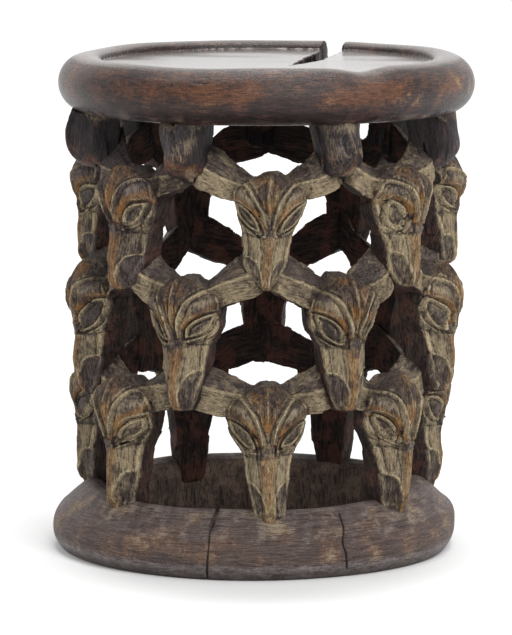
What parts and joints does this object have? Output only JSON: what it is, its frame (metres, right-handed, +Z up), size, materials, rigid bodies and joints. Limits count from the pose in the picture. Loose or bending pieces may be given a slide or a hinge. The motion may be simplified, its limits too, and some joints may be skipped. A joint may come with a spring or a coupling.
{
  "type": "stool",
  "caption": "Round wooden stool whose dished seat stands on an openwork drum of carved horned animal heads over a hollow base ring.",
  "frame": {"origin": "centre of the bounding box's underside, on the floor", "axes": "+Z up through the seat, -Y towards the viewer of the front head, +X to that viewer's right"},
  "size_m": [0.3671, 0.3601, 0.43],
  "materials": {
    "seat_wood": "old dark brown wood, worn smooth on the rim, dry grey-brown grain in the dish",
    "base_wood": "old dark grey-brown wood, matte, dusty on top, with drying cracks",
    "bracket_wood": "old dark wood with tool marks, ochre dust in the cuts and red-brown wear",
    "head_wood": "old dark carved wood, ochre dust in the cuts and red-brown wear on the ridges"
  },
  "bodies": {
    "root": {"seat": "seat_wood", "base_ring": "base_wood", "seat_bracket_1": "bracket_wood", "seat_bracket_2": "bracket_wood", "seat_bracket_3": "bracket_wood", "seat_bracket_4": "bracket_wood", "seat_bracket_5": "bracket_wood", "seat_bracket_6": "bracket_wood", "seat_bracket_7": "bracket_wood", "upper_head_1": "head_wood", "upper_head_2": "head_wood", "upper_head_3": "head_wood", "upper_head_4": "head_wood", "upper_head_5": "head_wood", "upper_head_6": "head_wood", "upper_head_7": "head_wood", "middle_head_1": "head_wood", "middle_head_2": "head_wood", "middle_head_3": "head_wood", "middle_head_4": "head_wood", "middle_head_5": "head_wood", "middle_head_6": "head_wood", "middle_head_7": "head_wood", "lower_head_1": "head_wood", "lower_head_2": "head_wood", "lower_head_3": "head_wood", "lower_head_4": "head_wood", "lower_head_5": "head_wood", "lower_head_6": "head_wood", "lower_head_7": "head_wood"}
  },
  "joints": []
}
